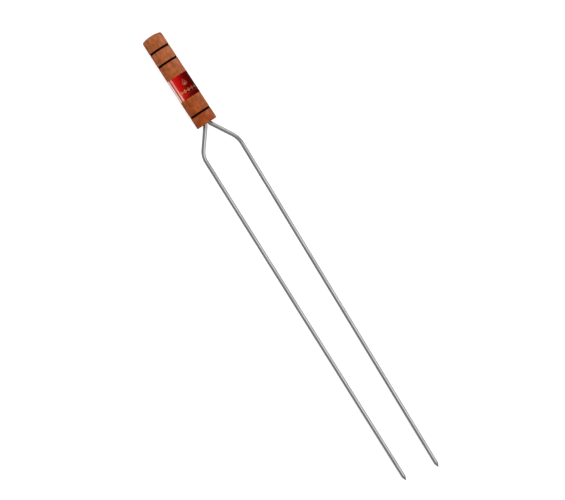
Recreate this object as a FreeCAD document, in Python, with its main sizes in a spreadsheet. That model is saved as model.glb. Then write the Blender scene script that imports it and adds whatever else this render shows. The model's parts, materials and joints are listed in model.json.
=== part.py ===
"""Two-prong roasting fork: two bent round wires standing in a turned wooden handle.

The frame is in millimetres. The origin is the centre of the handle's butt face, which is crowned
but flat in the middle. +X runs along the handle towards the prong points, +Y is the left side seen
from above, and +Z is up, square to the plane that both prongs lie in.
"""

import FreeCAD, Part
import math
import os

import Sketcher

# Driving dimensions: alias, millimetres, meaning.
DIMENSIONS = [
    ("handle_length", 141.6, "butt face to front face"),
    ("butt_radius", 15.3, "handle radius at the butt, where the turned taper is thinnest"),
    ("front_radius", 15.9, "handle radius at the front face"),
    ("crown_edge", 7.5, "radius at which the butt face starts to fall away"),
    ("crown_drop", 2.0, "how far it falls by the handle's side"),
    ("crown_bend", 20.0, "radius that blends the flat middle into the fall"),
    ("butt_rounding", 3.0, "radius of the edge round the butt face"),
    ("front_bevel", 0.5, "chamfer round the front face"),
    ("ring_radius", 2.0, "radius of the round section of the burnt grooves"),
    ("ring_depth", 0.5, "how deep they go into the wood"),
    ("rear_ring_x", 21.7, "groove nearest the butt"),
    ("second_ring_x", 42.1, "groove behind the label"),
    ("front_ring_x", 124.1, "groove nearest the front face"),
    ("bore_start_x", 49.2, "where the full bore begins, at the foot of the drill point"),
    ("bore_radius", 6.5, "bore that takes the two tangs"),
    ("drill_point", 3.9, "length of the drill point at the bottom of the bore"),
    ("mouth_radius", 8.0, "countersink of the bore at the front face"),
    ("mouth_depth", 5.0, "depth of that countersink"),
    ("label_start_x", 65.2, "rear edge of the label"),
    ("label_length", 34.0, "width of the label along the handle"),
    ("label_thickness", 0.35, "film, print and glue"),
    ("wire_radius", 3.0, "both prongs are 6 mm wire"),
    ("tang_start_x", 51.2, "sawn rear ends of the tangs"),
    ("tang_offset", 3.1, "each tang's axis from the handle's axis"),
    ("fork_x", 142.2, "where the tang and splay lines of a wire meet"),
    ("fork_bend", 8.0, "centreline radius of the bend at the mouth"),
    ("left_shoulder_x", 181.9, "where the left splay and straight lines meet"),
    ("left_shoulder_y", 26.1, "the same, sideways"),
    ("left_shoulder_bend", 35.0, "centreline radius of the left shoulder"),
    ("left_tip_x", 737.1, "end of the left prong"),
    ("left_tip_y", 9.7, "the same, sideways"),
    ("right_shoulder_x", 177.1, "where the right splay and straight lines meet"),
    ("right_shoulder_y", -30.2, "the same, sideways"),
    ("right_shoulder_bend", 25.0, "centreline radius of the right shoulder"),
    ("right_tip_x", 727.4, "end of the right prong"),
    ("right_tip_y", -40.2, "the same, sideways"),
    ("point_length", 6.2, "length of the ground point"),
    ("point_taper", 2.3, "how much the point takes off the wire's radius"),
    ("weld_radius", 1.5, "section of a tack weld"),
    ("weld_length", 14.0, "length of a tack weld"),
    ("weld_height", 2.75, "axis of a tack weld above or below the tangs' plane"),
    ("weld_rounding", 1.2, "rounded ends of a tack weld"),
    ("first_weld_x", 57.2, "rear end of the first pair of tack welds"),
    ("weld_pitch", 28.0, "spacing of the pairs along the tangs"),
]
WELD_STATIONS = 3
CLEAR = "5"  # how far a cutting outline stands outside the wood


# ---- document and sketch helpers ---------------------------------------------------------------


def make_sheet(doc):
    """Puts the driving dimensions in a spreadsheet, one alias each."""
    sheet = doc.addObject("Spreadsheet::Sheet", "Sizes")
    for row, (alias, value, meaning) in enumerate(DIMENSIONS, start=1):
        sheet.set(f"A{row}", meaning)
        sheet.set(f"B{row}", str(value))
        sheet.setAlias(f"B{row}", alias)
    doc.recompute()
    return sheet


def plane_of(body, role):
    """The body's own origin plane with that role."""
    return next(f for f in body.Origin.OriginFeatures if f.Role == role)


def new_sketch(body, name, role):
    sketch = body.newObject("Sketcher::SketchObject", name)
    sketch.AttachmentSupport = [(plane_of(body, role), "")]
    sketch.MapMode = "FlatFace"
    return sketch


def bind(sketch, constraint, name, formula):
    """Adds a dimension that the sheet drives."""
    index = sketch.addConstraint(constraint)
    sketch.renameConstraint(index, name)
    sketch.setExpression(f"Constraints.{name}", formula)


def bind_point(sketch, geometry, position, place, name, formulas):
    """Ties a point to the sketch's origin, in X and in Y."""
    for axis, here, formula in zip("XY", place, formulas):
        constraint = Sketcher.Constraint(f"Distance{axis}", -1, 1, geometry, position, here)
        bind(sketch, constraint, f"{name}_{axis.lower()}", formula)


def add_outline(sketch, corners):
    """Closed polygon. Each corner is a pair of formulas, in order round the outline."""
    count = len(corners)
    turns = [2 * math.pi * i / count for i in range(count)]
    loop = [FreeCAD.Vector(10 * math.cos(t), 10 * math.sin(t), 0) for t in turns]
    for i in range(count):
        sketch.addGeometry(Part.LineSegment(loop[i], loop[(i + 1) % count]), False)
    for i in range(count):
        sketch.addConstraint(Sketcher.Constraint("Coincident", i, 2, (i + 1) % count, 1))
    for i, formulas in enumerate(corners):
        bind_point(sketch, i, 1, (loop[i].x, loop[i].y), f"corner{i}", formulas)


def turn_profile(body, kind, name, sketch):
    """Turns a sketch about the handle's axis, as a Revolution or a Groove."""
    feature = body.newObject(f"PartDesign::{kind}", name)
    feature.Profile = sketch
    feature.ReferenceAxis = (sketch, ["H_Axis"])
    feature.Angle = 360
    return feature


def handle_radius(x):
    """Formula for the handle's tapered radius at x, itself a formula."""
    slope = "(Sizes.front_radius - Sizes.butt_radius) / Sizes.handle_length"
    return f"Sizes.butt_radius + {slope} * ({x})"


def circle_near(shape, x):
    """Name of the closed edge whose centre lies nearest that x."""
    closed = [(i, e) for i, e in enumerate(shape.Edges, start=1) if e.isClosed()]
    number, _ = min(closed, key=lambda pair: abs(pair[1].CenterOfMass.x - x))
    return f"Edge{number}"


def rim_edge(shape, x):
    """Name of the widest closed edge within half a millimetre of that x."""
    closed = [(i, e) for i, e in enumerate(shape.Edges, start=1) if e.isClosed()]
    near = [(i, e) for i, e in closed if abs(e.CenterOfMass.x - x) < 0.5]
    number, _ = max(near, key=lambda pair: pair[1].Length)
    return f"Edge{number}"


# ---- handle ------------------------------------------------------------------------------------


def bore_outline(front_corners):
    """Half section of the drilled bore, closed in front by the corners given."""
    bottom = [("Sizes.bore_start_x - Sizes.drill_point", "0"), ("Sizes.bore_start_x", "Sizes.bore_radius")]
    return bottom + front_corners


def make_handle(doc):
    """Turned taper with ring grooves, a crowned butt, and a countersunk blind bore."""
    body = doc.addObject("PartDesign::Body", "Handle")
    body.Label = "handle"

    blank = new_sketch(body, "BlankSketch", "XY_Plane")
    front = "Sizes.handle_length"
    crown = [("0", "0"), ("0", "Sizes.crown_edge"), ("Sizes.crown_drop", handle_radius("Sizes.crown_drop"))]
    add_outline(blank, crown + [(front, "Sizes.front_radius"), (front, "0")])
    turned = turn_profile(body, "Revolution", "Turned", blank)
    doc.recompute()

    blend = body.newObject("PartDesign::Fillet", "CrownBlend")
    blend.Base = (turned, [circle_near(turned.Shape, 0)])
    blend.setExpression("Radius", "Sizes.crown_bend")
    doc.recompute()

    rounding = body.newObject("PartDesign::Fillet", "ButtRounding")
    rounding.Base = (blend, [rim_edge(blend.Shape, doc.Sizes.get("crown_drop"))])
    rounding.setExpression("Radius", "Sizes.butt_rounding")
    doc.recompute()

    bevel = body.newObject("PartDesign::Chamfer", "FrontBevel")
    length = doc.Sizes.get("handle_length")
    bevel.Base = (rounding, [circle_near(rounding.Shape, length)])
    bevel.setExpression("Size", "Sizes.front_bevel")

    rings = new_sketch(body, "RingSketch", "XY_Plane")
    for i, station in enumerate(("rear_ring_x", "second_ring_x", "front_ring_x")):
        x = doc.Sizes.get(station)
        radius = doc.Sizes.get("ring_radius")
        y = doc.Sizes.get("butt_radius") + radius
        circle = Part.Circle(FreeCAD.Vector(x, y, 0), FreeCAD.Vector(0, 0, 1), radius)
        rings.addGeometry(circle, False)
        standoff = "Sizes.ring_radius - Sizes.ring_depth"
        place = (f"Sizes.{station}", f"{handle_radius(f'Sizes.{station}')} + {standoff}")
        bind_point(rings, i, 3, (x, y), station, place)
        bind(rings, Sketcher.Constraint("Radius", i, radius), f"{station}_section", "Sizes.ring_radius")
    turn_profile(body, "Groove", "RingGrooves", rings)

    bore = new_sketch(body, "BoreSketch", "XY_Plane")
    countersink = [
        ("Sizes.handle_length - Sizes.mouth_depth", "Sizes.bore_radius"),
        ("Sizes.handle_length", "Sizes.mouth_radius"),
        (f"Sizes.handle_length + {CLEAR}", "Sizes.mouth_radius"),
        (f"Sizes.handle_length + {CLEAR}", "0"),
    ]
    add_outline(bore, bore_outline(countersink))
    turn_profile(body, "Groove", "Bore", bore)
    return body


# ---- prongs ------------------------------------------------------------------------------------


def unit_along(start, end):
    return (end - start).normalize()


def add_bent_path(sketch, corners, formulas, bends):
    """Straight runs through the corners, each inner corner rounded by a tangent arc.

    formulas holds each corner's pair of formulas, and bends the alias of each inner corner's radius.
    """
    turns = []
    for before, corner, after, alias in zip(corners, corners[1:], corners[2:], bends):
        way_in = unit_along(before, corner)
        way_out = unit_along(corner, after)
        left = way_in.cross(way_out).z > 0
        radius = sketch.Document.Sizes.get(alias)
        reach = radius * math.tan(way_in.getAngle(way_out) / 2)
        side = FreeCAD.Vector(-way_in.y, way_in.x, 0) * (radius if left else -radius)
        turns.append((corner - way_in * reach, corner + way_out * reach, side, left, radius))

    starts = [corners[0]] + [turn[1] for turn in turns]
    ends = [turn[0] for turn in turns] + [corners[-1]]
    runs = [sketch.addGeometry(Part.LineSegment(a, b), False) for a, b in zip(starts, ends)]
    sketch.addConstraint(Sketcher.Constraint("Coincident", runs[0], 1, -1, 1))
    sketch.addConstraint(Sketcher.Constraint("Horizontal", runs[0]))

    for i, (enter, leave, side, left, radius) in enumerate(turns):
        centre = enter + side
        first, last = (enter, leave) if left else (leave, enter)
        angles = [math.atan2(p.y - centre.y, p.x - centre.x) for p in (first, last)]
        circle = Part.Circle(centre, FreeCAD.Vector(0, 0, 1), radius)
        arc = sketch.addGeometry(Part.ArcOfCircle(circle, *angles), False)
        entry, leaving = (1, 2) if left else (2, 1)
        sketch.addConstraint(Sketcher.Constraint("Tangent", runs[i], 2, arc, entry))
        sketch.addConstraint(Sketcher.Constraint("Tangent", arc, leaving, runs[i + 1], 1))
        bind(sketch, Sketcher.Constraint("Radius", arc, radius), f"bend{i}", f"Sizes.{bends[i]}")
        corner = corners[i + 1]
        mark = sketch.addGeometry(Part.Point(corner), True)
        sketch.addConstraint(Sketcher.Constraint("PointOnObject", mark, 1, runs[i + 1]))
        if i == 0:
            x_only = Sketcher.Constraint("DistanceX", -1, 1, mark, 1, corner.x)
            sketch.addConstraint(Sketcher.Constraint("PointOnObject", mark, 1, runs[0]))
            bind(sketch, x_only, "fork_x", formulas[1][0])
        else:
            sketch.addConstraint(Sketcher.Constraint("PointOnObject", mark, 1, runs[i]))
            bind_point(sketch, mark, 1, (corner.x, corner.y), f"corner{i}", formulas[i + 1])
    end = corners[-1]
    bind_point(sketch, runs[-1], 2, (end.x, end.y), "tip", formulas[-1])


def make_prong(doc, side, tang_sign):
    """One wire: tang, bend at the mouth, splay, shoulder, long straight and ground point."""
    body = doc.addObject("PartDesign::Body", f"{side.capitalize()}Prong")
    body.Label = f"{side}_prong"
    tang_y = f"{tang_sign} * Sizes.tang_offset"
    body.setExpression("Placement.Base.x", "Sizes.tang_start_x")
    body.setExpression("Placement.Base.y", tang_y)

    # The sketches start at the tang's rear end, so the corners are counted from there.
    stations = ["fork", f"{side}_shoulder", f"{side}_tip"]
    formulas = [("0", "0"), ("Sizes.fork_x - Sizes.tang_start_x", "0")]
    formulas += [(f"Sizes.{s}_x - Sizes.tang_start_x", f"Sizes.{s}_y - {tang_y}") for s in stations[1:]]
    start_x = doc.Sizes.get("tang_start_x")
    start_y = tang_sign * doc.Sizes.get("tang_offset")
    corners = [FreeCAD.Vector(0, 0, 0), FreeCAD.Vector(doc.Sizes.get("fork_x") - start_x, 0, 0)]
    for station in stations[1:]:
        x = doc.Sizes.get(f"{station}_x") - start_x
        y = doc.Sizes.get(f"{station}_y") - start_y
        corners.append(FreeCAD.Vector(x, y, 0))

    path = new_sketch(body, f"{side}_path", "XY_Plane")
    add_bent_path(path, corners, formulas, ["fork_bend", f"{side}_shoulder_bend"])

    section = new_sketch(body, f"{side}_section", "YZ_Plane")
    radius = doc.Sizes.get("wire_radius")
    section.addGeometry(Part.Circle(FreeCAD.Vector(0, 0, 0), FreeCAD.Vector(0, 0, 1), radius), False)
    section.addConstraint(Sketcher.Constraint("Coincident", 0, 3, -1, 1))
    bind(section, Sketcher.Constraint("Radius", 0, radius), "wire", "Sizes.wire_radius")
    doc.recompute()

    wire = body.newObject("PartDesign::AdditivePipe", f"{side}_wire")
    wire.Profile = section
    wire.Spine = (path, [f"Edge{i + 1}" for i in range(len(path.Shape.Edges))])
    doc.recompute()

    point = body.newObject("PartDesign::Chamfer", f"{side}_point")
    point.Base = (wire, [circle_near(wire.Shape, doc.Sizes.get(f"{side}_tip_x") - start_x)])
    point.ChamferType = "Two distances"
    point.setExpression("Size", "Sizes.point_length")
    point.setExpression("Size2", "Sizes.point_taper")
    return body


# ---- joint of the tangs, inside the handle -----------------------------------------------------


def make_welds(doc, prongs):
    """Pairs of tack welds in the valleys above and below the tangs, cut to the wires' shape."""
    beads = []
    for i in range(WELD_STATIONS):
        for name, sign in (("Upper", 1), ("Lower", -1)):
            rod = doc.addObject("Part::Cylinder", f"{name}Bead{i}")
            rod.setExpression("Radius", "Sizes.weld_radius")
            rod.setExpression("Height", "Sizes.weld_length")
            rod.Placement.Rotation = FreeCAD.Rotation(FreeCAD.Vector(0, 1, 0), 90)
            rod.setExpression("Placement.Base.x", f"Sizes.first_weld_x + {i} * Sizes.weld_pitch")
            rod.setExpression("Placement.Base.z", f"{sign} * Sizes.weld_height")
            bead = doc.addObject("Part::Fillet", f"{name}Tack{i}")
            bead.Base = rod
            ends = doc.Sizes.get("weld_rounding")
            bead.Edges = [(1, ends, ends), (3, ends, ends)]
            beads.append(bead)
    bar = doc.addObject("Part::MultiFuse", "Tacks")
    bar.Shapes = beads
    wires = doc.addObject("Part::MultiFuse", "Wires")
    wires.Shapes = prongs
    welds = doc.addObject("Part::Cut", "TangWelds")
    welds.Base = bar
    welds.Tool = wires
    welds.Label = "tang_welds"
    return welds


def make_adhesive(doc, prongs, welds):
    """Cured resin: the bore's own shape up to the countersink, less all that it surrounds."""
    plug = doc.addObject("PartDesign::Body", "ResinPlug")
    sketch = new_sketch(plug, "ResinSketch", "XY_Plane")
    front = "Sizes.handle_length - Sizes.mouth_depth"
    add_outline(sketch, bore_outline([(front, "Sizes.bore_radius"), (front, "0")]))
    turn_profile(plug, "Revolution", "Resin", sketch)
    inside = doc.addObject("Part::MultiFuse", "InsideResin")
    inside.Shapes = prongs + [welds]
    adhesive = doc.addObject("Part::Cut", "TangAdhesive")
    adhesive.Base = plug
    adhesive.Tool = inside
    adhesive.Label = "tang_adhesive"
    return adhesive


# ---- label -------------------------------------------------------------------------------------


def make_label(doc):
    """Thin band that follows the handle's taper."""
    body = doc.addObject("PartDesign::Body", "LabelBand")
    body.Label = "label_band"
    rear = "Sizes.label_start_x"
    front = "Sizes.label_start_x + Sizes.label_length"
    inner = [(x, handle_radius(x)) for x in (rear, front)]
    outer = [(x, f"{radius} + Sizes.label_thickness") for x, radius in reversed(inner)]
    sketch = new_sketch(body, "BandSketch", "XY_Plane")
    add_outline(sketch, inner + outer)
    turn_profile(body, "Revolution", "Band", sketch)
    return body


# ---- checks and export -------------------------------------------------------------------------


def check_document(doc):
    for item in doc.Objects:
        if "Invalid" in item.State or "Error" in item.State:
            raise RuntimeError(f"{item.Label} did not recompute: {item.State}")


def check_cut(before, after):
    """A groove or chamfer has to take material away."""
    removed = before.Shape.Volume - after.Shape.Volume
    if removed <= 0:
        raise RuntimeError(f"{after.Label} cut nothing")
    print(f"{after.Label}: removed {removed:.1f} mm3")


def export(pieces):
    os.makedirs("parts", exist_ok=True)
    for piece in pieces:
        shape = piece.Shape
        if shape.isNull() or not shape.isValid():
            raise RuntimeError(f"{piece.Label} has a bad shape")
        shape.exportStep(f"parts/{piece.Label}.step")
        print(f"{piece.Label}: {len(shape.Solids)} solid(s), {shape.Volume:.1f} mm3")


def main():
    doc = FreeCAD.newDocument("RoastingFork")
    make_sheet(doc)
    handle = make_handle(doc)
    left = make_prong(doc, "left", 1)
    right = make_prong(doc, "right", -1)
    welds = make_welds(doc, [left, right])
    adhesive = make_adhesive(doc, [left, right], welds)
    label = make_label(doc)
    doc.recompute()

    check_document(doc)
    check_cut(doc.FrontBevel, doc.RingGrooves)
    check_cut(doc.RingGrooves, doc.Bore)
    check_cut(doc.left_wire, doc.left_point)
    check_cut(doc.right_wire, doc.right_point)
    export([handle, left, right, welds, adhesive, label])


main()
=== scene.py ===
"""Looks of the two-prong roasting fork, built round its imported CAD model.

Everything is in metres in the part's own frame: origin at the centre of the handle's butt face,
+X along the handle towards the points, +Z square to the plane of the prongs.
"""

import json
import math

import bpy
from mathutils import Matrix, Vector, noise


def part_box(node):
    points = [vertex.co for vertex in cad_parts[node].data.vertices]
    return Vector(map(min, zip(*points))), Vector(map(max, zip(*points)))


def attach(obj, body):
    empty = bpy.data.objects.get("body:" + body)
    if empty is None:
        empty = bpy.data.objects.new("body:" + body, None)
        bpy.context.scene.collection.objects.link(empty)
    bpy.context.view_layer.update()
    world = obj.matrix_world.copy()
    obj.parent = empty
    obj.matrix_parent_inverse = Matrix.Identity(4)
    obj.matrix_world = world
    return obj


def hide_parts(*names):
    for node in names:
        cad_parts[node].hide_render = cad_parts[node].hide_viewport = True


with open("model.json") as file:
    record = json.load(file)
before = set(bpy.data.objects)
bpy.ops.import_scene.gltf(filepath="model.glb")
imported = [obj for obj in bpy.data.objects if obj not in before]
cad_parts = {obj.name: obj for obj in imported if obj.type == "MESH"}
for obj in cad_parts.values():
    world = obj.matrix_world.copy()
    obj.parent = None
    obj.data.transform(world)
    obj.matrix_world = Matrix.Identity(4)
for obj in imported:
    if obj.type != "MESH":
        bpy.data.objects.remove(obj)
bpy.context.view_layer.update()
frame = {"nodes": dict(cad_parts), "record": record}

MM = 0.001
MOUNTS = {mount["name"]: mount for mount in frame["record"]["mounts"]}


# ---- sizes -------------------------------------------------------------------------------------

HANDLE_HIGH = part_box("handle")[1]
HANDLE_LENGTH = HANDLE_HIGH.x
FRONT_RADIUS = HANDLE_HIGH.z
BUTT_RADIUS = 15.3 * MM
CROWN_EDGE = 7.5 * MM
CROWN_DROP = 2.0 * MM
CROWN_BEND = 20.0 * MM
BUTT_ROUNDING = 3.0 * MM
FRONT_BEVEL = 0.5 * MM
PROFILE_STEP = 1.3 * MM  # rings of vertices along the handle
RING_STATIONS = [21.7 * MM, 42.1 * MM, 124.1 * MM]
RING_RADIUS = 2.0 * MM
RING_DEPTH = 0.5 * MM
RING_HALF_WIDTH = math.sqrt(2 * RING_RADIUS * RING_DEPTH - RING_DEPTH ** 2)
BORE_RADIUS = 6.5 * MM
BORE_START = 49.2 * MM
MOUTH_RADIUS = 8.0 * MM
MOUTH_DEPTH = 5.0 * MM
TURNED_SKIN = 1.3 * MM  # the turning marks are on what lies within this of the taper
PITH_Y, PITH_Z = 0.052, -0.031  # the tree's centre, well outside the handle
RING_PHASE = 3100  # radians of phase per metre from the pith, so a growth ring every 2 mm

LABEL_LOW, LABEL_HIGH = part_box("label_band")
LABEL_MIDDLE = (LABEL_LOW.x + LABEL_HIGH.x) / 2
FILM = 0.15 * MM
LABEL_FACING = math.radians(15)  # the middle of the print, turned from +Z towards +Y
LAP_EDGE = math.radians(-54)  # the outer end of the film, on top of its start
LABEL_LAP = math.radians(376)  # how far round the film goes
LABEL_SEAM = LAP_EDGE - LABEL_LAP
FILM_EDGE = 0.05 * MM  # how much its long edges are thinned
FILM_GAP = 0.02 * MM  # glue under the film
HIGHLIGHT_TURN = math.radians(-41)  # a pale band is painted along this line as a highlight, over the real one from the label_strip lamp
DARKEST = math.radians(80)  # the middle of the maroon
INK = 0.03 * MM

WIRE_RADIUS = MOUNTS["left_prong_straight"]["dims"]["r_mm"] * MM
SHOULDER_BENDS = {"left": 35.0 * MM, "right": 25.0 * MM}
TANG_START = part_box("left_prong")[0].x
TANG_OFFSET = 3.1 * MM
FORK_X = 142.2 * MM
FORK_BEND = 8.0 * MM
POINT_LENGTH = 6.2 * MM
BLUNT_RADIUS = 0.7 * MM
SQUASH, SWELL = 0.035, 0.025  # how much a bend narrows the wire in its plane and thickens it across

RESIN_LEVEL = 0.35 * MM  # the resin's surface above the countersink's foot
RESIN_RISE = 1.5 * MM  # how far it climbs the wires
RESIN_REACH = 0.9 * MM  # how far from a wire the climb has faded
RESIN_BACK = 0.2 * MM  # how far the collar reaches down into the bore

# Soft panels: name, place, target, width, height, and how bright each is to look at.
SOFTBOXES = [
    ("panel_front", (0.92, 0.80, 0.90), (0.92, 0.0, 0.0), 1.4, 1.6, 1.3),
    ("panel_rear", (-0.85, 0.80, 0.90), (-0.85, 0.0, 0.0), 1.4, 1.6, 1.3),
    ("handle_fill", (-0.45, -0.90, 0.80), (0.0, 0.0, 0.0), 0.9, 1.0, 1.7),
    ("label_strip", (0.05, -0.50, 0.11), (0.05, 0.0, 0.11), 0.5, 0.22, 10.0),
    ("handle_rim", (-0.15, 0.50, 0.12), (-0.15, 0.0, 0.0), 0.45, 0.3, 7.0),
]


def wood_radius(x):
    """The turned taper, without its grooves."""
    return BUTT_RADIUS + (FRONT_RADIUS - BUTT_RADIUS) * x / HANDLE_LENGTH


def around(x, radius, turn):
    """A point on a circle about the handle's axis, turned from +Z towards +Y."""
    return Vector((x, radius * math.sin(turn), radius * math.cos(turn)))


# ---- node materials ----------------------------------------------------------------------------


class Paint:
    """A Principled material and short calls for the nodes that feed it."""

    def __init__(self, name, **constants):
        self.material = bpy.data.materials.new(name)
        self.material.use_nodes = True
        self.tree = self.material.node_tree
        self.shader = self.tree.nodes["Principled BSDF"]
        for socket, value in constants.items():
            self.shader.inputs[socket.replace("_", " ")].default_value = value

    def node(self, kind, **settings):
        made = self.tree.nodes.new(kind)
        for name, value in settings.items():
            setattr(made, name, value)
        return made

    def feed(self, socket, source):
        """Links an output, or sets a plain value."""
        if isinstance(source, bpy.types.NodeSocket):
            self.tree.links.new(source, socket)
        else:
            socket.default_value = source

    def math(self, operation, *values, clamp=False):
        made = self.node("ShaderNodeMath", operation=operation, use_clamp=clamp)
        for socket, value in zip(made.inputs, values):
            self.feed(socket, value)
        return made.outputs[0]

    def position(self):
        return self.node("ShaderNodeTexCoord").outputs["Object"]

    def attribute(self, name):
        return self.node("ShaderNodeAttribute", attribute_name=name).outputs["Vector"]

    def scaled(self, vector, scale):
        made = self.node("ShaderNodeVectorMath", operation="MULTIPLY")
        self.feed(made.inputs[0], vector)
        self.feed(made.inputs[1], scale)
        return made.outputs[0]

    def split(self, vector):
        made = self.node("ShaderNodeSeparateXYZ")
        self.feed(made.inputs[0], vector)
        return made.outputs

    def noise(self, vector, scale, detail=3.0, roughness=0.55, distortion=0.0):
        made = self.node("ShaderNodeTexNoise")
        self.feed(made.inputs["Vector"], self.scaled(vector, scale))
        self.feed(made.inputs["Scale"], 1.0)
        self.feed(made.inputs["Detail"], detail)
        self.feed(made.inputs["Roughness"], roughness)
        self.feed(made.inputs["Distortion"], distortion)
        return made.outputs["Fac"]

    def ramp(self, value, low, high, to_low=0.0, to_high=1.0, smooth=True):
        kind = "SMOOTHSTEP" if smooth else "LINEAR"
        made = self.node("ShaderNodeMapRange", interpolation_type=kind)
        for socket, given in zip(made.inputs, (value, low, high, to_low, to_high)):
            self.feed(socket, given)
        return made.outputs[0]

    def blend(self, amount, first, second, mode="MIX"):
        made = self.node("ShaderNodeMix", data_type="RGBA", blend_type=mode)
        self.feed(made.inputs[0], amount)
        for socket, colour in zip(made.inputs[6:8], (first, second)):
            self.feed(socket, (*colour, 1.0) if isinstance(colour, tuple) else colour)
        return made.outputs[2]

    def bump(self, height, distance, strength=1.0):
        made = self.node("ShaderNodeBump")
        self.feed(made.inputs["Height"], height)
        self.feed(made.inputs["Distance"], distance)
        self.feed(made.inputs["Strength"], strength)
        self.feed(self.shader.inputs["Normal"], made.outputs[0])

    def set(self, socket, source):
        self.feed(self.shader.inputs[socket], source)


def growth_rings(paint, position, y, z):
    """Soft lines, each on a cylinder about the pith, that wander with a slow noise."""
    drift = paint.noise(position, (11, 90, 90), detail=3)
    side = paint.math("POWER", paint.math("ADD", y, -PITH_Y), 2)
    height = paint.math("POWER", paint.math("ADD", z, -PITH_Z), 2)
    across = paint.math("SQRT", paint.math("ADD", side, height))
    phase = paint.math("MULTIPLY", across, RING_PHASE)
    phase = paint.math("ADD", phase, paint.math("MULTIPLY", drift, 8))
    return paint.ramp(paint.math("SINE", phase), -0.3, 1.0)


def off_groove(paint, position, x):
    """Distance along X to the middle of the nearest burnt groove, made a little uneven."""
    uneven = paint.math("ADD", paint.noise(position, (300, 260, 260)), -0.5)
    nearest = None
    for station in RING_STATIONS:
        off = paint.math("ABSOLUTE", paint.math("ADD", x, -station))
        nearest = off if nearest is None else paint.math("MINIMUM", nearest, off)
    return paint.math("ADD", nearest, paint.math("MULTIPLY", uneven, 0.5 * MM))


def wood_material():
    """Reddish turned hardwood: faint growth rings, fibres, open pores, end grain and burnt grooves."""
    paint = Paint("turned_wood", IOR=1.30)
    position = paint.position()
    x, y, z = paint.split(position)
    rings = growth_rings(paint, position, y, z)
    fibres = paint.noise(position, (45, 1300, 1300), detail=5, roughness=0.7)
    flecks = paint.noise(position, (300, 1500, 1500), detail=3)
    pores = paint.ramp(paint.noise(position, (190, 3400, 3400), detail=2), 0.60, 0.72)
    mottle = paint.noise(position, (120, 230, 230), detail=3, roughness=0.6)
    cloud = paint.noise(position, (45, 70, 70), detail=2)

    # The blotches belong to the long grain, so they fade out on the two end faces.
    facing = paint.split(paint.node("ShaderNodeNewGeometry").outputs["Normal"])[0]
    end_face = paint.ramp(paint.math("ABSOLUTE", facing), 0.80, 0.98)
    long_grain = paint.math("SUBTRACT", 1.0, end_face)
    pale_blotches = paint.ramp(mottle, 0.50, 0.62, 0.0, paint.math("MULTIPLY", long_grain, 0.55))
    dark_blotches = paint.ramp(mottle, 0.49, 0.38, 0.0, paint.math("MULTIPLY", long_grain, 0.60))

    # Paler towards the butt: partly the wood's own tone, partly a painted sheen on the rear.
    along = paint.ramp(x, 0.0, HANDLE_LENGTH, smooth=False)
    butt_wood_and_sheen, front_wood = (0.450, 0.122, 0.033), (0.400, 0.076, 0.008)
    base = paint.blend(along, butt_wood_and_sheen, front_wood)
    base = paint.blend(paint.math("MULTIPLY", rings, 0.24), base, (0.270, 0.056, 0.012))
    base = paint.blend(paint.ramp(fibres, 0.46, 0.66, 0.0, 0.50), base, (0.230, 0.046, 0.010))
    base = paint.blend(paint.ramp(cloud, 0.50, 0.78, 0.0, 0.40), base, (0.300, 0.074, 0.014))
    base = paint.blend(pale_blotches, base, (0.550, 0.165, 0.050))
    base = paint.blend(dark_blotches, base, (0.240, 0.058, 0.004))
    base = paint.blend(paint.ramp(flecks, 0.56, 0.70, 0.0, 0.45), base, (0.560, 0.200, 0.075))
    base = paint.blend(paint.math("MULTIPLY", pores, 0.70), base, (0.090, 0.020, 0.007))

    # Towards the front the wood is warmer; the paler rear is partly the wood's tone and partly a painted
    # sheen.
    warmth = paint.ramp(x, 0.3 * HANDLE_LENGTH, HANDLE_LENGTH, smooth=False)
    warmed = paint.blend(1.0, base, (0.90, 0.72, 0.42), mode="MULTIPLY")
    base = paint.blend(warmth, base, warmed)

    # End grain on the two end faces: darker, with clear rings.
    strength = paint.math("ADD", paint.math("MULTIPLY", rings, 0.26), 0.32)
    base = paint.blend(paint.math("MULTIPLY", end_face, strength), base, (0.130, 0.034, 0.012))

    # The burnt grooves: charred inside, scorched brown for a short way on both sides.
    off = off_groove(paint, position, x)
    scorch = paint.ramp(off, RING_HALF_WIDTH, RING_HALF_WIDTH + 0.8 * MM, 0.75, 0.0)
    char = paint.ramp(off, RING_HALF_WIDTH + 0.05 * MM, RING_HALF_WIDTH + 0.30 * MM, 1.0, 0.0)
    base = paint.blend(scorch, base, (0.100, 0.026, 0.008))
    base = paint.blend(char, base, (0.008, 0.001, 0.0005))
    paint.set("Base Color", base)

    dullness = paint.ramp(fibres, 0.3, 0.7, 0.50, 0.62)
    paint.set("Roughness", paint.math("ADD", dullness, paint.math("MULTIPLY", char, 0.35)))
    paint.set("Specular IOR Level", paint.ramp(char, 0.0, 1.0, 0.35, 0.06))
    pits = paint.math("MULTIPLY", pores, 0.8)
    paint.bump(paint.math("SUBTRACT", paint.math("MULTIPLY", fibres, 0.6), pits), 0.12 * MM, 0.6)
    return paint.material


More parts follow.
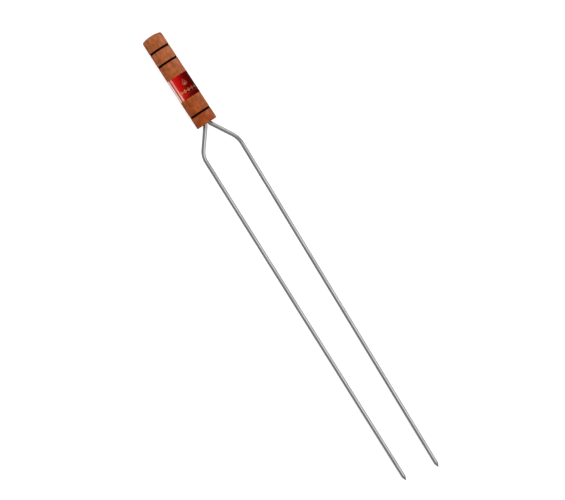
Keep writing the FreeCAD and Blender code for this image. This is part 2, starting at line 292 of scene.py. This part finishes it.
def steel_material():
    """Drawn round wire: satin, with fine lines along it and faint scuffs across it."""
    paint = Paint("drawn_steel", Metallic=1.0)
    along = paint.attribute("wire")
    lines = paint.noise(along, (18, 4200, 4200), detail=4, roughness=0.65)
    scuffs = paint.noise(along, (900, 260, 260), detail=3, roughness=0.6)
    stain = paint.noise(along, (35, 160, 160), detail=4)
    clean, stained = (0.455, 0.455, 0.455), (0.385, 0.381, 0.374)
    colour = paint.blend(paint.ramp(stain, 0.35, 0.7, 0.0, 0.6), clean, stained)
    colour = paint.blend(paint.ramp(lines, 0.46, 0.64, 0.0, 0.6), colour, (0.250, 0.250, 0.250))
    colour = paint.blend(paint.ramp(scuffs, 0.62, 0.80, 0.0, 0.35), colour, (0.560, 0.560, 0.555))
    paint.set("Base Color", colour)
    dullness = paint.ramp(stain, 0.3, 0.7, 0.18, 0.26)
    paint.set("Roughness", paint.math("ADD", dullness, paint.ramp(lines, 0.3, 0.7, 0.0, 0.06)))
    height = paint.math("ADD", lines, paint.math("MULTIPLY", scuffs, 0.5))
    paint.bump(height, 0.03 * MM, 0.6)
    return paint.material


def label_material():
    """Film: bright red that turns maroon round the handle, a painted highlight band and a pale margin
    that is a painted reflection.

    The maroon lies towards +Y, and the film is red again underneath.
    """
    paint = Paint("label_film", Roughness=0.12, IOR=1.18)
    position = paint.position()
    x, y, z = paint.split(position)
    turn = paint.math("ARCTAN2", y, z)

    # The red deepens along a line that slants across the label, by 9 radians per metre.
    slant = paint.math("MULTIPLY", paint.math("ADD", x, -LABEL_MIDDLE), 9.0)
    shade = paint.math("ADD", turn, slant)
    bright_red, maroon, darkest = (0.660, 0.003, 0.003), (0.150, 0.001, 0.001), (0.055, 0.001, 0.001)
    deep = paint.ramp(shade, math.radians(-28), math.radians(22))
    deeper = paint.ramp(shade, math.radians(14), math.radians(68))
    underneath = paint.ramp(turn, math.radians(105), math.radians(172))
    colour = paint.blend(deep, bright_red, maroon)
    colour = paint.blend(deeper, colour, darkest)
    colour = paint.blend(underneath, colour, bright_red)

    # Painted highlight: a pale band along the handle, pink turning to cream towards the front, over the
    # real highlight that the label_strip lamp makes there.
    cream = paint.ramp(x, LABEL_LOW.x, LABEL_HIGH.x)
    pale = paint.blend(cream, (1.000, 0.210, 0.200), (1.000, 0.480, 0.300))
    off_highlight = paint.math("ABSOLUTE", paint.math("ADD", turn, -HIGHLIGHT_TURN))
    band = paint.ramp(off_highlight, math.radians(8), math.radians(4), 0.0, 0.85)
    colour = paint.blend(band, colour, pale)

    # A dark line follows the lap's edge, and beside it the film's outer end is painted near white, a
    # painted reflection of the white table at its grazing edge.
    rule_start = paint.ramp(turn, LAP_EDGE + 0.10, LAP_EDGE + 0.05)
    rule_end = paint.ramp(turn, LAP_EDGE - 0.02, LAP_EDGE - 0.06)
    colour = paint.blend(paint.math("SUBTRACT", rule_start, rule_end), colour, (0.200, 0.010, 0.010))
    # Painted reflection: the film's outer end is coloured near white.
    edge_reflection_start = paint.ramp(turn, LAP_EDGE, LAP_EDGE - 0.04)
    edge_reflection_end = paint.ramp(turn, LAP_EDGE - 0.34, LAP_EDGE - 0.37)
    edge_reflection = paint.math("SUBTRACT", edge_reflection_start, edge_reflection_end)
    paint.set("Base Color", paint.blend(edge_reflection, colour, (1.000, 0.800, 0.760)))

    # The maroon is matt, and the gloss comes back away from it.
    off_darkest = paint.math("ABSOLUTE", paint.math("ADD", turn, -DARKEST))
    gloss = paint.ramp(off_darkest, math.radians(40), math.radians(112), 0.04, 0.5)
    paint.set("Specular IOR Level", gloss)
    paint.bump(paint.noise(position, (180, 180, 180), detail=2), 0.02 * MM, 0.1)
    return paint.material


def ink_material(name, bright, dull):
    """Metallic-looking ink that turns duller round the handle towards +Y, where the red under it turns
    maroon.
    """
    paint = Paint(name, Roughness=0.45, IOR=1.30)
    position = paint.position()
    _, y, z = paint.split(position)
    fade = paint.ramp(paint.math("ARCTAN2", y, z), math.radians(-25), math.radians(45))
    grain = paint.noise(position, (2400, 2400, 2400), detail=1)
    colour = paint.blend(fade, bright, dull)
    paint.set("Base Color", paint.blend(paint.math("MULTIPLY", grain, 0.4), colour, dull))
    return paint.material


def resin_material():
    """Cured amber resin round the tangs."""
    paint = Paint("cured_resin", Roughness=0.28, IOR=1.52)
    cloud = paint.noise(paint.position(), (420, 420, 420), detail=3)
    paint.set("Base Color", paint.blend(cloud, (0.150, 0.075, 0.022), (0.290, 0.165, 0.060)))
    paint.bump(cloud, 0.2 * MM, 0.4)
    return paint.material


def weld_material():
    """Dull, scaled weld metal."""
    paint = Paint("weld_metal", Metallic=1.0)
    scale = paint.noise(paint.position(), (900, 900, 900), detail=4)
    paint.set("Base Color", paint.blend(scale, (0.16, 0.15, 0.15), (0.36, 0.33, 0.30)))
    paint.set("Roughness", paint.ramp(scale, 0.3, 0.7, 0.45, 0.7))
    paint.bump(scale, 0.3 * MM, 0.6)
    return paint.material


def floor_material():
    """Matt white table, lit from inside like a light table, less so in what it mirrors onto the fork."""
    paint = Paint("white_table", Roughness=0.9, Base_Color=(0.55, 0.55, 0.55, 1.0))
    paint.shader.inputs["Emission Color"].default_value = (1.0, 1.0, 1.0, 1.0)
    seen = paint.node("ShaderNodeLightPath").outputs["Is Camera Ray"]
    paint.set("Emission Strength", paint.math("ADD", paint.math("MULTIPLY", seen, 0.45), 0.30))
    return paint.material


# ---- mesh helpers ------------------------------------------------------------------------------


def make_object(name, vertices, faces, material):
    """A smooth mesh object, linked into the scene."""
    mesh = bpy.data.meshes.new(name)
    mesh.from_pydata(vertices, [], faces)
    mesh.materials.append(material)
    mesh.polygons.foreach_set("use_smooth", [True] * len(mesh.polygons))
    mesh.update()
    made = bpy.data.objects.new(name, mesh)
    bpy.context.scene.collection.objects.link(made)
    return made


def add_piece(name, vertices, faces, material, replaced=()):
    """A visual piece of the fork."""
    made = make_object(name, vertices, faces, material)
    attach(made, "root")
    if replaced:
        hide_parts(*replaced)
    return made


def ring_faces(rings, segments, first=0):
    """Quads between rings of vertices, each ring closed on itself."""
    faces = []
    for ring in range(rings - 1):
        low = first + ring * segments
        for i in range(segments):
            j = (i + 1) % segments
            faces.append((low + i, low + j, low + segments + j, low + segments + i))
    return faces


def arc_points(centre, radius, start, end, steps):
    """Points on an arc in the (x, radius) plane, both ends included."""
    angles = [start + (end - start) * i / steps for i in range(steps + 1)]
    return [(centre[0] + radius * math.cos(a), centre[1] + radius * math.sin(a)) for a in angles]


def line_points(start, end, steps):
    """Points after start, up to and with end."""
    return [tuple(a + (b - a) * i / steps for a, b in zip(start, end)) for i in range(1, steps + 1)]


# ---- handle ------------------------------------------------------------------------------------


def groove_points(station):
    """Shallow round groove whose lips are eased."""
    radius = wood_radius(station)
    lip = 0.3 * MM
    half_angle = math.asin(RING_HALF_WIDTH / RING_RADIUS)
    centre = (station, radius + RING_RADIUS - RING_DEPTH)
    low, high = math.radians(270) - half_angle, math.radians(270) + half_angle
    points = [(station - RING_HALF_WIDTH - lip, wood_radius(station - RING_HALF_WIDTH - lip))]
    points += arc_points(centre, RING_RADIUS, low, high, 10)
    points += [(station + RING_HALF_WIDTH + lip, wood_radius(station + RING_HALF_WIDTH + lip))]
    return points


def handle_profile():
    """(x, radius) from the crowned butt's centre, along the outside, and in through the mouth."""
    fall = math.atan2(CROWN_DROP, wood_radius(CROWN_DROP) - CROWN_EDGE)
    flat_radius = CROWN_EDGE - CROWN_BEND * math.tan(fall / 2)
    rounding_end = CROWN_DROP + BUTT_ROUNDING * math.tan((math.pi / 2 - fall) / 2)
    rounding_centre = (rounding_end, wood_radius(rounding_end) - BUTT_ROUNDING)
    points = line_points((0.0, 0.0), (0.0, flat_radius), 5)
    points += arc_points((CROWN_BEND, flat_radius), CROWN_BEND, math.pi, math.pi - fall, 6)[1:]
    points += arc_points(rounding_centre, BUTT_ROUNDING, math.pi - fall, math.pi / 2, 12)
    bevel_start = HANDLE_LENGTH - FRONT_BEVEL
    features = [groove_points(station) for station in RING_STATIONS]
    features.append([(bevel_start, wood_radius(bevel_start))])
    for feature in features:
        last = points[-1]
        count = max(2, round((feature[0][0] - last[0]) / PROFILE_STEP))
        points += line_points(last, feature[0], count) + feature[1:]
    points += line_points(points[-1], (HANDLE_LENGTH, FRONT_RADIUS - FRONT_BEVEL), 2)
    points += line_points(points[-1], (HANDLE_LENGTH, MOUTH_RADIUS), 8)
    points += line_points(points[-1], (HANDLE_LENGTH - MOUTH_DEPTH, BORE_RADIUS), 4)
    points += line_points(points[-1], (BORE_START, BORE_RADIUS), 12)
    points += line_points(points[-1], (BORE_START, BORE_RADIUS / 3), 2)
    return points


def turned_relief(x, turn):
    """Small unevenness of a turned and sanded surface."""
    place = Vector((x * 60, math.sin(turn) * 1.3, math.cos(turn) * 1.3))
    slow = noise.noise(place) * 0.06 * MM
    fine = noise.noise(Vector((x * 260, math.sin(turn) * 14, math.cos(turn) * 14))) * 0.018 * MM
    return slow + fine


def build_handle(material):
    """The turned handle with its eased grooves and drilled mouth, as one closed mesh."""
    segments = 144
    profile = handle_profile()
    vertices = []
    for x, radius in profile:
        on_outside = radius > wood_radius(x) - TURNED_SKIN and x < HANDLE_LENGTH
        for i in range(segments):
            turn = 2 * math.pi * i / segments
            relief = turned_relief(x, turn) if on_outside else 0.0
            vertices.append(around(x, radius + relief, turn))
    faces = ring_faces(len(profile), segments)
    butt, bottom = len(vertices), len(vertices) + 1
    vertices += [Vector((0, 0, 0)), Vector((BORE_START, 0, 0))]
    last = (len(profile) - 1) * segments
    for i in range(segments):
        j = (i + 1) % segments
        faces.append((butt, j, i))
        faces.append((bottom, last + i, last + j))
    return add_piece("turned_handle", vertices, faces, material, ["handle"])


# ---- prongs ------------------------------------------------------------------------------------


def wire_path(side):
    """Centreline of one wire up to its ground point, and then its tip.

    Each row is (point, heading, flattening), the last rising from 0 to 1 in the middle of a bend.
    The straight length comes from the record's mount, and the rest from the bends at its rear.
    """
    mount = MOUNTS[f"{side}_prong_straight"]
    sign = 1 if side == "left" else -1
    heading = Vector(mount["axis"])
    middle = Vector(mount["pos_m"])
    half = mount["dims"]["length_mm"] * MM / 2
    shoulder_end = middle - heading * half
    tip = middle + heading * (half + POINT_LENGTH)
    bend = SHOULDER_BENDS[side]
    root = Vector((FORK_X, sign * TANG_OFFSET, 0))

    # The shoulder's arc is tangent to the straight length and to the splay line from the root.
    inward = Vector((heading.y, -heading.x, 0)) * sign
    centre = shoulder_end + inward * bend
    reach = centre - root
    splay = math.atan2(reach.y, reach.x) + sign * math.asin(bend / reach.length)
    splay_heading = Vector((math.cos(splay), math.sin(splay), 0))
    shoulder_start = root + splay_heading * math.sqrt(reach.length ** 2 - bend ** 2)
    fork_reach = FORK_BEND * math.tan(abs(splay) / 2)

    rows = []
    start = Vector((TANG_START, sign * TANG_OFFSET, 0))
    fork_in = root - Vector((fork_reach, 0, 0))
    fork_out = root + splay_heading * fork_reach
    straight_angle = math.atan2(heading.y, heading.x)

    def run(first, last, count):
        way = (last - first).normalized()
        for i in range(count):
            rows.append((first.lerp(last, i / count), way, 0.0))

    def bend_rows(first, pivot, from_angle, to_angle, count):
        spoke = first - pivot
        for i in range(count):
            part = i / count
            turned = (to_angle - from_angle) * part
            point = pivot + Matrix.Rotation(turned, 3, "Z") @ spoke
            angle = from_angle + turned
            rows.append((point, Vector((math.cos(angle), math.sin(angle), 0)), math.sin(math.pi * part)))

    run(start, fork_in, 16)
    bend_rows(fork_in, fork_in + Vector((0, sign * FORK_BEND, 0)), 0.0, splay, 14)
    run(fork_out, shoulder_start, 10)
    bend_rows(shoulder_start, centre, splay, straight_angle, 18)
    point_start = tip - heading * POINT_LENGTH
    run(shoulder_end, point_start, 110)
    rows.append((point_start, heading, 0.0))
    return rows, tip


def build_prong(side, material):
    """One drawn wire, a little flattened in its bends, with a ground point."""
    segments = 40
    rows, tip = wire_path(side)
    vertices = []
    coordinates = []
    distance = 0.0
    before = rows[0][0]

    def add_ring(centre, heading, radius, flat=0.0):
        across = Vector((-heading.y, heading.x, 0))
        for i in range(segments):
            turn = 2 * math.pi * i / segments
            out = math.cos(turn) * radius * (1 - SQUASH * flat)
            up = math.sin(turn) * radius * (1 + SWELL * flat)
            vertices.append(centre + across * out + Vector((0, 0, up)))
            coordinates.append((distance, out, up))

    ease = 0.35 * MM
    add_ring(rows[0][0], rows[0][1], WIRE_RADIUS - ease)
    add_ring(rows[0][0] + rows[0][1] * ease, rows[0][1], WIRE_RADIUS)
    for centre, heading, flat in rows[1:]:
        distance += (centre - before).length
        before = centre
        add_ring(centre, heading, WIRE_RADIUS, flat)
    heading = rows[-1][1]
    base = rows[-1][0]
    cone = POINT_LENGTH - 0.5 * BLUNT_RADIUS
    cone_rings = (0.04, 0.25, 0.5, 0.75, 0.93)
    for part in cone_rings:
        radius = WIRE_RADIUS + (BLUNT_RADIUS - WIRE_RADIUS) * part
        distance += POINT_LENGTH / len(cone_rings)
        add_ring(base + heading * cone * part, heading, radius)
    for turn in (30, 60):
        angle = math.radians(turn)
        reach = cone + 0.5 * BLUNT_RADIUS * math.sin(angle)
        add_ring(base + heading * reach, heading, BLUNT_RADIUS * math.cos(angle))
    rings = len(vertices) // segments
    faces = ring_faces(rings, segments)
    start_cap, end_cap = len(vertices), len(vertices) + 1
    vertices += [rows[0][0], tip]
    coordinates += [(0.0, 0.0, 0.0), (distance, 0.0, 0.0)]
    last = (rings - 1) * segments
    for i in range(segments):
        j = (i + 1) % segments
        faces.append((start_cap, j, i))
        faces.append((end_cap, last + i, last + j))
    made = add_piece(f"{side}_wire", vertices, faces, material, [f"{side}_prong"])
    layer = made.data.attributes.new("wire", "FLOAT_VECTOR", "POINT")
    layer.data.foreach_set("vector", [number for row in coordinates for number in row])
    return made


# ---- label -------------------------------------------------------------------------------------


def label_radius(x, turned):
    """Outer radius of the wrapped film, turned being the angle from its first edge."""
    lap = min(1.0, max(0.0, (turned - math.radians(350)) / math.radians(10)))
    lift = FILM * 1.05 * (3 * lap ** 2 - 2 * lap ** 3)
    loose = 0.012 * MM * noise.noise(Vector((x * 90, math.sin(turned) * 2, math.cos(turned) * 2)))
    return wood_radius(x) + FILM + FILM_GAP + lift + loose


def build_label(material):
    """Film wrapped once round the handle, its end lapped over its start."""
    steps, widths = 188, 22
    columns = [LABEL_LOW.x + (LABEL_HIGH.x - LABEL_LOW.x) * i / widths for i in range(widths + 1)]
    vertices = []
    for step in range(steps + 1):
        turned = LABEL_LAP * step / steps
        turn = LABEL_SEAM + turned
        outer = [(x, label_radius(x, turned)) for x in columns]
        outer[0] = (outer[0][0], outer[0][1] - FILM_EDGE)
        outer[-1] = (outer[-1][0], outer[-1][1] - FILM_EDGE)
        inner = [(x, label_radius(x, turned) - FILM) for x in reversed(columns)]
        vertices += [around(x, radius, turn) for x, radius in outer + inner]
    loop = 2 * len(columns)
    faces = []
    for step in range(steps):
        low = step * loop
        for i in range(loop):
            j = (i + 1) % loop
            faces.append((low + i, low + loop + i, low + loop + j, low + j))
    faces.append(tuple(range(loop)))
    faces.append(tuple(steps * loop + i for i in reversed(range(loop))))
    return add_piece("wrapped_label", vertices, faces, material, ["label_band"])


def ink_vertices(loops):
    """Loops of (round, along) points from the print's middle, laid on the label as thin ink."""
    lifts = [INK] * len(loops) + [-INK] * len(loops)
    placed = []
    for lift, loop in zip(lifts, loops + loops[::-1]):
        for sideways, along in loop:
            x = LABEL_MIDDLE + along
            turn = LABEL_FACING + sideways / FRONT_RADIUS
            placed.append(around(x, label_radius(x, turn - LABEL_SEAM) + lift, turn))
    return placed


def add_print(name, shapes, material):
    """Each shape is a list of nested loops of equal length, from its outline inwards."""
    vertices, faces = [], []
    for loops in shapes:
        first, count = len(vertices), len(loops[0])
        vertices += ink_vertices(loops)
        faces += ring_faces(2 * len(loops), count, first)
        last = first + (2 * len(loops) - 1) * count
        for i in range(count):
            j = (i + 1) % count
            faces.append((last + i, last + j, first + j, first + i))
    return add_piece(name, vertices, faces, material)


def scaled_loops(outline, scales, centre=(0.0, 0.0)):
    """The outline once for each scale, about the same centre."""
    return [[(centre[0] + across * s, centre[1] + along * s) for across, along in outline]
            for s in scales]


def drop_outline(width, height, steps=48):
    """A flame-like drop, its tip towards the butt."""
    turns = [2 * math.pi * i / steps for i in range(steps)]
    return [(width * math.sin(t) * math.sin(t / 2) ** 1.6, -height * math.cos(t)) for t in turns]


def lozenge_outline(half_width, half_height, steps=6):
    """A rhombus, each side cut into steps."""
    corners = [(half_width, 0.0), (0.0, half_height), (-half_width, 0.0), (0.0, -half_height)]
    outline = []
    for start, end in zip(corners, corners[1:] + corners[:1]):
        outline += [tuple(a + (b - a) * i / steps for a, b in zip(start, end)) for i in range(steps)]
    return outline


def dot_outline(radius, steps=20):
    """A circle about its own centre."""
    turns = [2 * math.pi * i / steps for i in range(steps)]
    return [(radius * math.cos(t), radius * math.sin(t)) for t in turns]


def build_print():
    """A plain flame over a row of lozenges and dots, and a fine dotted border in front of it."""
    pale = ink_material("pale_ink", (0.98, 0.56, 0.22), (0.44, 0.110, 0.045))
    faint = ink_material("faint_ink", (0.80, 0.26, 0.11), (0.42, 0.100, 0.050))
    flame = drop_outline(4.8 * MM, 4.5 * MM)
    centre = (0.0, -5.4 * MM)
    add_print("label_flame", [
        scaled_loops(flame, (1.0, 0.88, 0.76), centre),
        scaled_loops(flame, (0.42, 0.33, 0.24, 0.14, 0.04), (centre[0], centre[1] + 1.1 * MM)),
    ], faint)

    row, pitch, count = 6.6 * MM, 5.7 * MM, 5
    places = [pitch * (i - (count - 1) / 2) for i in range(count)]
    lozenge = lozenge_outline(2.1 * MM, 2.8 * MM)
    dot = dot_outline(0.55 * MM)
    shapes = [scaled_loops(lozenge, (1.0, 0.85, 0.70), (place, row)) for place in places]
    shapes += [scaled_loops(lozenge, (0.38, 0.20, 0.04), (place, row)) for place in places]
    shapes += [scaled_loops(dot, (1.0, 0.55, 0.10), (place + pitch / 2, row)) for place in places[:-1]]
    add_print("label_lozenges", shapes, pale)

    border, fine_pitch, beads = 11.4 * MM, 1.25 * MM, 21
    bead = dot_outline(0.24 * MM, 12)
    bead_places = [fine_pitch * (i - (beads - 1) / 2) for i in range(beads)]
    dots = [scaled_loops(bead, (1.0, 0.5, 0.1), (place, border)) for place in bead_places]
    add_print("label_border", dots, faint)


# ---- resin at the mouth ------------------------------------------------------------------------


def build_resin_collar(material):
    """The resin's free surface in the countersink, drawn up the wires and the wood."""
    foot = HANDLE_LENGTH - MOUTH_DEPTH
    level = foot + RESIN_LEVEL
    back = foot - RESIN_BACK
    wall = BORE_RADIUS + (MOUTH_RADIUS - BORE_RADIUS) * RESIN_LEVEL / MOUTH_DEPTH
    tangs = [Vector((0, sign * TANG_OFFSET, 0)) for sign in (1, -1)]
    segments, rings = 96, 26
    turns = [2 * math.pi * i / segments for i in range(segments)]
    vertices = [Vector((foot + RESIN_RISE * 0.6, 0, 0))]
    for ring in range(1, rings + 1):
        outwards = ring / rings
        for turn in turns:
            radius = wall * outwards
            point = around(0, radius, turn)
            to_wires = min((point - tang).length for tang in tangs) - WIRE_RADIUS
            by_wire = math.exp(-max(0.0, to_wires) / RESIN_REACH)
            by_wall = 0.6 * math.exp(-(wall - radius) / RESIN_REACH)
            climb = RESIN_RISE * min(1.0, by_wire + by_wall)
            grow = 1 + 0.3 * climb / MOUTH_DEPTH * outwards
            vertices.append(Vector((level + climb, point.y * grow, point.z * grow)))
    rim = 1 + (rings - 1) * segments
    skirt = len(vertices)
    vertices += [around(back, BORE_RADIUS * 0.98, turn) for turn in turns]
    bottom = len(vertices)
    vertices.append(Vector((back, 0, 0)))

    faces = ring_faces(rings, segments, 1)
    for i in range(segments):
        j = (i + 1) % segments
        faces.append((0, 1 + i, 1 + j))
        faces.append((rim + i, rim + j, skirt + j, skirt + i))
        faces.append((skirt + j, skirt + i, bottom))
    faces = [tuple(reversed(face)) for face in faces]
    return add_piece("resin_collar", vertices, faces, material)


# ---- stage -------------------------------------------------------------------------------------


def rest_plane():
    """The table that the fork lies on: under the handle's front edge and both points."""
    handle_foot = Vector((HANDLE_LENGTH - FRONT_BEVEL, 0, -FRONT_RADIUS))
    feet = []
    for side in ("left", "right"):
        mount = MOUNTS[f"{side}_prong_straight"]
        half = mount["dims"]["length_mm"] * MM / 2
        end = Vector(mount["pos_m"]) + Vector(mount["axis"]) * half
        feet.append(end - Vector((0, 0, WIRE_RADIUS)))
    up = (feet[0] - handle_foot).cross(feet[1] - handle_foot).normalized()
    if up.z < 0:
        up.negate()
    return handle_foot, up


def build_floor():
    """A wide white table, tilted to lie against the fork."""
    foot, up = rest_plane()
    half = 12.0
    corners = [Vector((x * half, y * half, 0)) for x, y in ((-1, -1), (1, -1), (1, 1), (-1, 1))]
    tilt = Vector((0, 0, 1)).rotation_difference(up)
    floor = make_object("floor", [foot + tilt @ c for c in corners], [(0, 1, 2, 3)], floor_material())
    return floor


def aim(thing, place, target, up):
    """Places an object at place, looking at target along -Z, with +Y nearest to up."""
    back = (place - target).normalized()
    right = up.cross(back).normalized()
    top = back.cross(right)
    turn = Matrix((right, top, back)).transposed()
    thing.matrix_world = Matrix.Translation(place) @ turn.to_4x4()


def add_camera():
    """Almost straight down, from above the handle's front end, with the points to the lower right."""
    data = bpy.data.cameras.new("camera")
    data.sensor_width = 36.0
    data.lens = 79.65
    data.clip_start, data.clip_end = 0.05, 50.0
    camera = bpy.data.objects.new("camera", data)
    bpy.context.scene.collection.objects.link(camera)
    place = Vector((0.1412, -0.0082, 1.7526))
    target = Vector((0.3482, -0.0083, 0.0))
    picture_up = math.radians(147.13)
    aim(camera, place, target, Vector((math.cos(picture_up), math.sin(picture_up), 0)))
    bpy.context.scene.camera = camera


def add_softbox(name, place, target, width, height, radiance):
    """A rectangular area light, width along X, as bright to look at as radiance says."""
    data = bpy.data.lights.new(name, "AREA")
    data.shape = "RECTANGLE"
    data.size, data.size_y = width, height
    data.energy = radiance * math.pi * width * height
    lamp = bpy.data.objects.new(name, data)
    bpy.context.scene.collection.objects.link(lamp)
    place, target = Vector(place), Vector(target)
    aim(lamp, place, target, Vector((0, -1, 1)))
    return lamp


def light_only(lamp, things):
    """Keeps a lamp's light to the things given, so that it makes no streak on the wires."""
    receivers = bpy.data.collections.new(f"{lamp.name}_receivers")
    for thing in things:
        receivers.objects.link(thing)
    lamp.light_linking.receiver_collection = receivers


def build_sky():
    """White for the camera, and for everything else a grey that grows paler towards the zenith."""
    world = bpy.data.worlds.new("studio")
    world.use_nodes = True
    tree = world.node_tree
    direction = tree.nodes.new("ShaderNodeTexCoord")
    height = tree.nodes.new("ShaderNodeSeparateXYZ")
    grade = tree.nodes.new("ShaderNodeMapRange")
    grade.inputs["To Min"].default_value, grade.inputs["To Max"].default_value = 0.18, 0.48
    tree.links.new(direction.outputs["Generated"], height.inputs[0])
    tree.links.new(height.outputs["Z"], grade.inputs["Value"])
    unseen = tree.nodes["Background"]
    tree.links.new(grade.outputs[0], unseen.inputs["Color"])
    seen = tree.nodes.new("ShaderNodeBackground")
    seen.inputs["Color"].default_value = (0.90, 0.90, 0.90, 1.0)
    rays = tree.nodes.new("ShaderNodeLightPath")
    mix = tree.nodes.new("ShaderNodeMixShader")
    tree.links.new(rays.outputs["Is Camera Ray"], mix.inputs[0])
    tree.links.new(unseen.outputs[0], mix.inputs[1])
    tree.links.new(seen.outputs[0], mix.inputs[2])
    tree.links.new(mix.outputs[0], tree.nodes["World Output"].inputs[0])
    bpy.context.scene.world = world


def light_stage(handle, label, floor):
    """Two large panels on the +Y side, and smaller ones for the handle and the label alone."""
    build_sky()
    lamps = {name: add_softbox(name, *placing) for name, *placing in SOFTBOXES}
    lamps["label_strip"].data.color = (1.0, 0.90, 0.84)
    lamps["label_strip"].visible_diffuse = False
    lamps["handle_rim"].visible_diffuse = False
    light_only(lamps["handle_fill"], [handle, label, floor])
    light_only(lamps["label_strip"], [label])
    light_only(lamps["handle_rim"], [handle])
    settings = bpy.context.scene.view_settings
    settings.view_transform = "Standard"
    settings.look = "None"


# ---- the whole picture -------------------------------------------------------------------------

add_camera()
floor = build_floor()

wood = wood_material()
steel = steel_material()
resin = resin_material()
handle = build_handle(wood)
build_prong("left", steel)
build_prong("right", steel)
build_resin_collar(resin)
label = build_label(label_material())
build_print()
light_stage(handle, label, floor)
for node, material in (("tang_adhesive", resin), ("tang_welds", weld_material())):
    frame["nodes"][node].data.materials.clear()
    frame["nodes"][node].data.materials.append(material)
